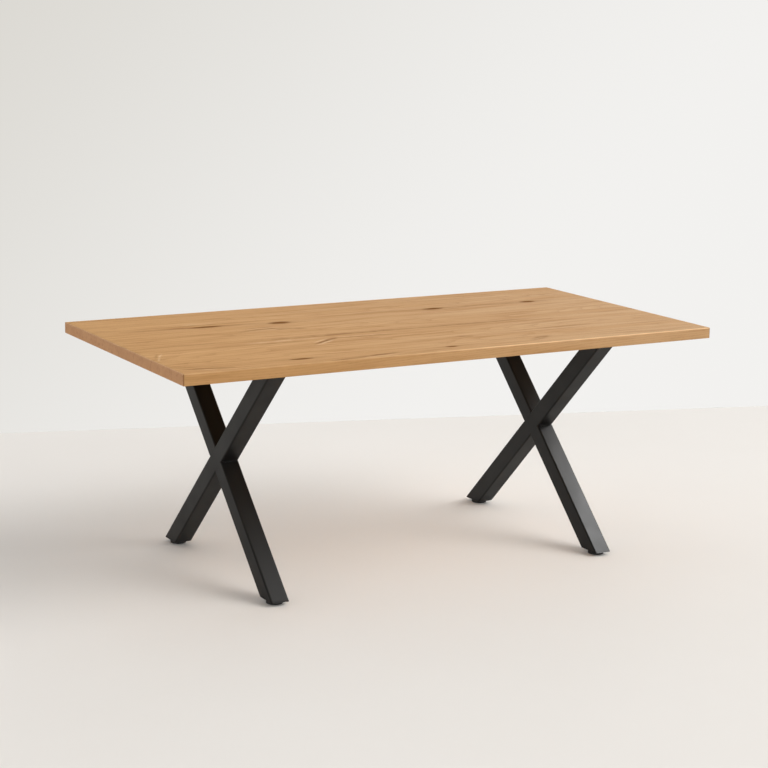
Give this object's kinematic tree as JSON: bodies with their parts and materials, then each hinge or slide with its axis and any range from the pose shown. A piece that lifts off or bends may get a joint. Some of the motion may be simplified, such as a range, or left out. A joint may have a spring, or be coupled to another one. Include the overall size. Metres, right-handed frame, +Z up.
{
  "type": "sawbuck table",
  "caption": "Dining table with a solid oak plank top on black welded steel X frames, standing on round levelling feet.",
  "frame": {"origin": "on the floor under the middle of the top", "axes": "+X along the table to the right, +Y from the front to the back, +Z up"},
  "size_m": [1.87, 0.95, 0.75],
  "materials": {
    "oak": "matt oiled rustic oak with knots",
    "plain_wood": "sawn beech tongue",
    "black_steel": "satin black powder coat",
    "zinc_steel": "bright zinc plate",
    "black_plastic": "moulded black nylon"
  },
  "bodies": {
    "table": {"crossing_welds_left": "black_steel", "crossing_welds_right": "black_steel", "foot_plate_back_left": "black_steel", "foot_plate_back_right": "black_steel", "foot_plate_front_left": "black_steel", "foot_plate_front_right": "black_steel", "lower_half_tube_left": "black_steel", "lower_half_tube_right": "black_steel", "plate_screws_left": "zinc_steel", "plate_screws_right": "zinc_steel", "plate_washers_left": "zinc_steel", "plate_washers_right": "zinc_steel", "plate_welds_left": "black_steel", "plate_welds_right": "black_steel", "threaded_inserts_left": "zinc_steel", "threaded_inserts_right": "zinc_steel", "through_tube_left": "black_steel", "through_tube_right": "black_steel", "tongue_back": "plain_wood", "tongue_front": "plain_wood", "tongue_middle": "plain_wood", "top_board_back": "oak", "top_board_back_middle": "oak", "top_board_front": "oak", "top_board_front_middle": "oak", "top_plate_left": "black_steel", "top_plate_right": "black_steel", "upper_half_tube_left": "black_steel", "upper_half_tube_right": "black_steel", "weld_nuts_left": "zinc_steel", "weld_nuts_right": "zinc_steel"},
    "front_left_pad": {"foot_pad_front_left": "black_plastic"},
    "front_left_stud": {"foot_stud_front_left": "zinc_steel"},
    "back_left_pad": {"foot_pad_back_left": "black_plastic"},
    "back_left_stud": {"foot_stud_back_left": "zinc_steel"},
    "front_right_pad": {"foot_pad_front_right": "black_plastic"},
    "front_right_stud": {"foot_stud_front_right": "zinc_steel"},
    "back_right_pad": {"foot_pad_back_right": "black_plastic"},
    "back_right_stud": {"foot_stud_back_right": "zinc_steel"}
  },
  "joints": [
    {"name": "front_left_foot_travel", "type": "slide", "parent": "table", "child": "front_left_pad", "axis": [0, 0, -1], "range_m": [0, 0.01]},
    {"name": "front_left_stud_turn", "type": "hinge", "parent": "front_left_pad", "child": "front_left_stud", "pos_m": [-0.592, -0.363, 0.01], "axis": [0, 0, -1], "range_deg": [0, 2400]},
    {"name": "back_left_foot_travel", "type": "slide", "parent": "table", "child": "back_left_pad", "axis": [0, 0, -1], "range_m": [0, 0.01]},
    {"name": "back_left_stud_turn", "type": "hinge", "parent": "back_left_pad", "child": "back_left_stud", "pos_m": [-0.592, 0.363, 0.01], "axis": [0, 0, -1], "range_deg": [0, 2400]},
    {"name": "front_right_foot_travel", "type": "slide", "parent": "table", "child": "front_right_pad", "axis": [0, 0, -1], "range_m": [0, 0.01]},
    {"name": "front_right_stud_turn", "type": "hinge", "parent": "front_right_pad", "child": "front_right_stud", "pos_m": [0.592, -0.363, 0.01], "axis": [0, 0, -1], "range_deg": [0, 2400]},
    {"name": "back_right_foot_travel", "type": "slide", "parent": "table", "child": "back_right_pad", "axis": [0, 0, -1], "range_m": [0, 0.01]},
    {"name": "back_right_stud_turn", "type": "hinge", "parent": "back_right_pad", "child": "back_right_stud", "pos_m": [0.592, 0.363, 0.01], "axis": [0, 0, -1], "range_deg": [0, 2400]}
  ],
  "couplings": [
    {"joint": "front_left_stud_turn", "follows": "front_left_foot_travel", "rad_per_m": 4188.8},
    {"joint": "back_left_stud_turn", "follows": "back_left_foot_travel", "rad_per_m": 4188.8},
    {"joint": "front_right_stud_turn", "follows": "front_right_foot_travel", "rad_per_m": 4188.8},
    {"joint": "back_right_stud_turn", "follows": "back_right_foot_travel", "rad_per_m": 4188.8}
  ]
}
